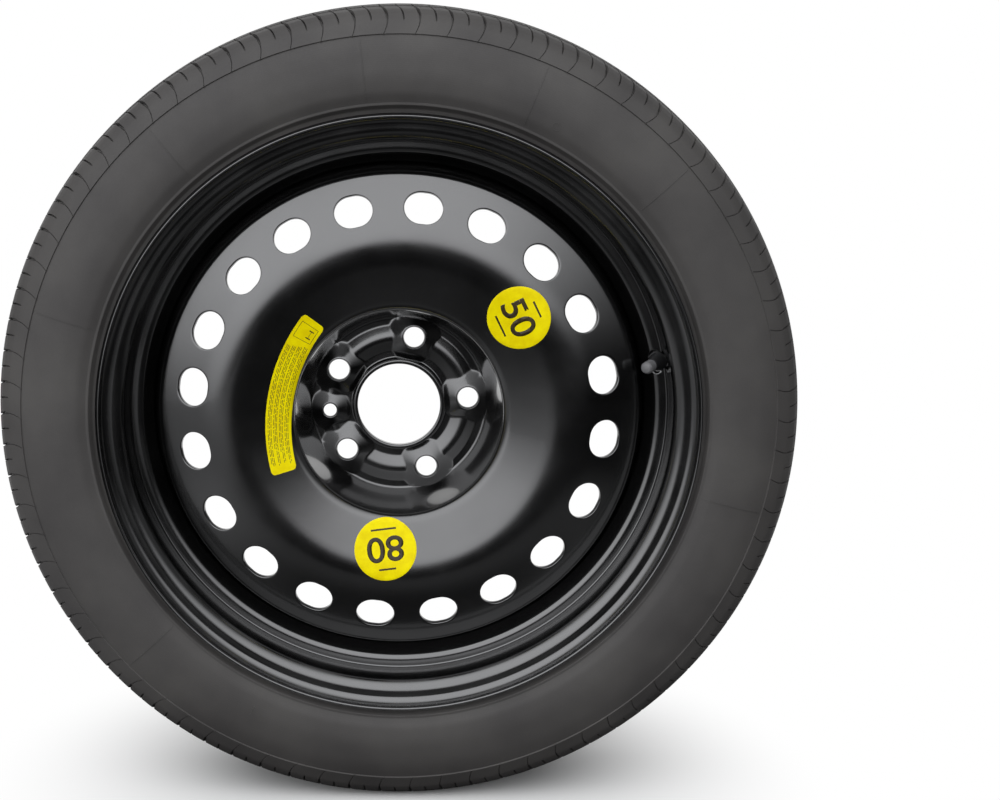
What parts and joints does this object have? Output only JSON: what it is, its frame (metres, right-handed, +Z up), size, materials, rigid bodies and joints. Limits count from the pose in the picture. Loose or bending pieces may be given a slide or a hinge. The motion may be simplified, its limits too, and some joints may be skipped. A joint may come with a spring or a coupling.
{
  "type": "spare wheel",
  "caption": "Narrow temporary spare wheel: a tyre on a welded steel rim with a deep pressed disc, vents, bolt holes and a snap-in valve.",
  "frame": {"origin": "on the wheel's axle, in the middle of the rim between the bead seats", "axes": "Y along the axle with -Y out of the vehicle, Z up, X level across the face"},
  "size_m": [0.635, 0.127, 0.635],
  "materials": {
    "tyre": "matt moulded rubber",
    "black_paint": "gloss black",
    "valve_rubber": "matt",
    "brass": "turned",
    "cap_plastic": "satin grey",
    "yellow_vinyl": "printed vinyl"
  },
  "bodies": {
    "wheel": {"tyre": "tyre", "rim": "black_paint", "wheel_disc": "black_paint", "weld_beads": "black_paint", "valve_rubber": "valve_rubber", "valve_tube": "brass", "core_body": "brass", "core_seal": "valve_rubber", "sticker_upper": "yellow_vinyl", "sticker_lower": "yellow_vinyl", "label_arc": "yellow_vinyl"},
    "cap": {"valve_cap": "cap_plastic", "cap_seal": "valve_rubber"},
    "pin": {"core_pin": "brass"}
  },
  "joints": [
    {"name": "cap_unscrews", "type": "slide", "parent": "wheel", "child": "cap", "axis": [-0.491, -0.866, -0.0945], "range_m": [0, 0.014]},
    {"name": "pin_presses", "type": "slide", "parent": "wheel", "child": "pin", "axis": [0.491, 0.866, 0.0945], "range_m": [0, 0.0012], "stiffness_N_per_m": 1200, "springref_m": -0.0008}
  ]
}
